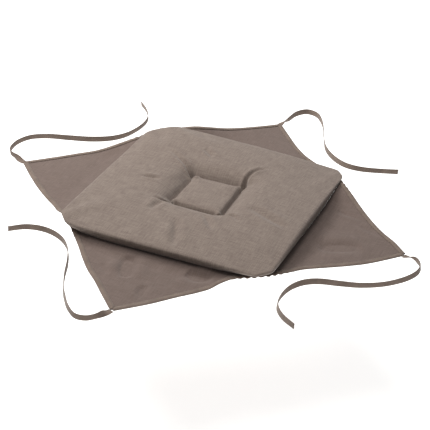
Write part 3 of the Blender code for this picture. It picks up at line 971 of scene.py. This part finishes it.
def stitch_tree():
    """Geometry Nodes: a bent piece of thread at every pitch along a line, bowed to the line's up."""
    tree = bpy.data.node_groups.new("row_of_stitches", "GeometryNodeTree")
    face = tree.interface
    face.new_socket("Line", in_out="INPUT", socket_type="NodeSocketGeometry")
    for name in ("Pitch", "Length", "Thread"):
        face.new_socket(name, in_out="INPUT", socket_type="NodeSocketFloat")
    face.new_socket("Material", in_out="INPUT", socket_type="NodeSocketMaterial")
    face.new_socket("Stitches", in_out="OUTPUT", socket_type="NodeSocketGeometry")
    given = add_node(tree, "NodeGroupInput").outputs
    curve = add_node(tree, "GeometryNodeMeshToCurve", {"Mesh": given["Line"]})
    spots = add_node(tree, "GeometryNodeResampleCurve", {
        "Curve": curve.outputs[0], "Length": given["Pitch"],
    }, mode="LENGTH")
    up = add_node(tree, "GeometryNodeInputNamedAttribute", {"Name": "up"}, data_type="FLOAT_VECTOR")
    along = add_node(tree, "GeometryNodeInputTangent")
    turn = add_node(tree, "FunctionNodeAxesToRotation", {0: up.outputs[0], 1: along.outputs[0]},
                    primary_axis="Z", secondary_axis="X")
    back, half, dip, radius, top = (
        calculate(tree, "MULTIPLY", given[size], share)
        for size, share in (("Length", -0.5), ("Length", 0.5), ("Thread", -0.5), ("Thread", 0.5),
                            ("Thread", 0.9))
    )
    first = add_node(tree, "ShaderNodeCombineXYZ", {"X": back, "Z": dip})
    middle = add_node(tree, "ShaderNodeCombineXYZ", {"Z": top})
    last = add_node(tree, "ShaderNodeCombineXYZ", {"X": half, "Z": dip})
    bow = add_node(tree, "GeometryNodeCurveQuadraticBezier", {
        "Resolution": 4, "Start": first.outputs[0], "Middle": middle.outputs[0],
        "End": last.outputs[0],
    })
    ring = add_node(tree, "GeometryNodeCurvePrimitiveCircle", {"Resolution": 5, "Radius": radius})
    strand = add_node(tree, "GeometryNodeCurveToMesh", {
        "Curve": bow.outputs[0], "Profile Curve": ring.outputs[0], "Fill Caps": True,
    })
    set_out = add_node(tree, "GeometryNodeInstanceOnPoints", {
        "Points": spots.outputs[0], "Instance": strand.outputs[0], "Rotation": turn.outputs[0],
    })
    real = add_node(tree, "GeometryNodeRealizeInstances", {0: set_out.outputs[0]})
    dressed = add_node(tree, "GeometryNodeSetMaterial", {
        "Geometry": real.outputs[0], "Material": given["Material"],
    })
    add_node(tree, "NodeGroupOutput", {0: dressed.outputs[0]})
    return tree


STITCHES = stitch_tree()


def stitch_row(name, lines):
    """One piece of stitches along several lines, each (points, upward directions)."""
    points = np.vstack([line for line, _ in lines])
    ups = np.vstack([up for _, up in lines])
    edges, first = [], 0
    for line, _ in lines:
        edges += [(k, k + 1) for k in range(first, first + len(line) - 1)]
        first += len(line)
    mesh = bpy.data.meshes.new(name)
    mesh.from_pydata(points.tolist(), edges, [])
    up = mesh.attributes.new("up", "FLOAT_VECTOR", "POINT")
    up.data.foreach_set("vector", ups.astype(np.float32).ravel())
    row = put_in_scene(name, mesh)
    sewing = row.modifiers.new("sewing", "NODES")
    sewing.node_group = STITCHES
    sizes = {"Pitch": STITCH_PITCH, "Length": STITCH_LENGTH, "Thread": THREAD, "Material": SPUN_THREAD}
    for item in STITCHES.interface.items_tree:
        if item.name in sizes:
            sewing[item.identifier] = sizes[item.name]
    apply_modifiers(row)
    row.data.shade_smooth()
    return row


# The tape's own row, 6.8 mm in from its fold, through to the underside; it stops at the mitre
ROW_AWAY, ROW_THROUGH = 6.8 * MM, 1.2 * MM
ROW_END = 6
for side in SIDE_ANGLES:
    for edge in FLAP_EDGES[side]:
        up = binding_frame(side, edge)[:-ROW_END]
        middle = binding_line(side, edge, ROW_AWAY)[:-ROW_END]
        row = stitch_row(f"edge_stitches_{side}_{edge}",
                         [(middle + way * up * ROW_THROUGH, way * up) for way in (1, -1)])
        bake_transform(row)

# The ties' row, which sews the folded tape shut near its open edge
TIE_ROW, TIE_ROW_THROUGH = 0.76, 0.66
for side, (centre, wide, thick) in tie_paths.items():
    line = centre + wide * TIE_ROW * TAPE_WIDTH / 2
    through = thick * TIE_ROW_THROUGH * TAPE_THICK / 2
    row = stitch_row(f"tie_stitches_{side}",
                     [(line + way * through, way * thick) for way in (1, -1)])
    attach(row, f"{side}_flap")


def ring(count, low, high):
    """Places, in a square grid's list of points, around a square of it and back to the start."""
    return ([k * count + low for k in range(low, high)] + [high * count + k for k in range(low, high)]
            + [k * count + high for k in range(high, low, -1)]
            + [low * count + k for k in range(high, low - 1, -1)])


# The quilting, through cover, wadding and bottom cover, around the square
quilt_order = ring(COUNT, OUTER_CELLS, OUTER_CELLS + 2 * INNER_CELLS)
for name, points, way, replaced in (
    ("quilting_stitches_top", top_points[quilt_order], 1, "quilting_stitch_top"),
    ("quilting_stitches_under", bottom_points[quilt_order], -1, "quilting_stitch_bottom"),
):
    up = np.tile(UP * way, (len(points), 1))
    row = stitch_row(name, [(points + up * THREAD / 2, up)])
    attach(row, "pad")
    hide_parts(replaced)

# The side seams, closed from the inside: short stitches show underneath, beside the fold
SEAM_OUT, SEAM_OVER = 1.0 * MM, 0.55 * MM
SEAM_ENDS, SEAM_STATIONS = 12 * MM, 120
for side in SIDE_ANGLES:
    out_way, over_way = directions(side)
    over = np.linspace(-FLAP_DEPTH + SEAM_ENDS, FLAP_DEPTH - SEAM_ENDS, SEAM_STATIONS)
    plan = (PAD_HALF + SEAM_OUT) * out_way + over[:, None] * over_way
    line = flap_surface(side, plan) - UP * SEAM_OVER
    row = stitch_row(f"side_seam_stitches_{side}", [(line, np.tile(-UP, (len(line), 1)))])
    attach(row, "pad")
    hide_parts(f"side_seam_{side}")


# ---- Wadding: one slab of bonded polyester fibre that fills the covers, a little clear of the cloth.
# It is pressed thin under the quilting and in the creases, and pinched out at the cut corners.
WADDING_GAP, WADDING_DEPTH, WADDING_THIN = 1.7 * MM, 3.0 * MM, 0.12 * MM
QUILT_PRESS, PRESS_REACH, CREASE_PRESS = 3.6, 9 * MM, 1.3
# It has a point at every second one of the covers', and stops this many short of the seams
WADDING_STEP, WADDING_RIM = 2, 3


def fibre_material():
    """Bonded polyester fibre: off-white, matt, with loose fibres that run every way."""
    material, tree = new_material("bonded_polyester_fibre")
    place = add_node(tree, "ShaderNodeTexCoord").outputs["Object"]
    # Tufts about 6 mm across, and fibres drawn 1 mm wide, since real ones are finer than a hair
    tuft = noise(tree, place, 1 / (6 * MM), Detail=3.0)
    fibre = noise(tree, place, 1 / (1 * MM), Distortion=2.0)
    finish_material(tree, {
        "Base Color": two_tone(tree, tuft, "#D9D6CF", "#F1EFEA"), "Roughness": 0.95,
        "Sheen Weight": 0.4, "Normal": bump(tree, fibre, 0.4, 0.5 * MM),
    })
    return material


taken = slice(WADDING_RIM, -WADDING_RIM, WADDING_STEP)
grid = np.arange(COUNT * COUNT).reshape(COUNT, COUNT)[taken, taken]
side_count = len(grid)
grid = grid.ravel()
skin = settled[grid]
low_skin = bottom_points[grid] + UP * WADDING_GAP
pressed = 1 + QUILT_PRESS * np.exp(-(from_quilt[grid] / PRESS_REACH) ** 2)
folded = np.minimum(cover_creases(skin[:, :2]), 0)
high_skin = skin - settled_ways[grid] * (WADDING_DEPTH * pressed - CREASE_PRESS * folded)[:, None]
# Where the covers meet there is only a thin edge of fibre between them
pinched = high_skin[:, 2] - low_skin[:, 2] < WADDING_GAP
middle = (skin + bottom_points[grid])[pinched] / 2
low_skin[pinched], high_skin[pinched] = middle - UP * WADDING_THIN, middle + UP * WADDING_THIN
quads = grid_faces(side_count, side_count)
faces = [quad[::-1] for quad in quads] + [tuple(k + side_count ** 2 for k in quad) for quad in quads]
rim = ring(side_count, 0, side_count - 1)
for a, b in zip(rim, rim[1:]):
    faces.append((a, b, b + side_count ** 2, a + side_count ** 2))
wadding = mesh_object("wadding_slab", np.vstack([low_skin, high_skin]), faces, fibre_material())
face_outward(wadding.data)
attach(wadding, "pad")
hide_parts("wadding")
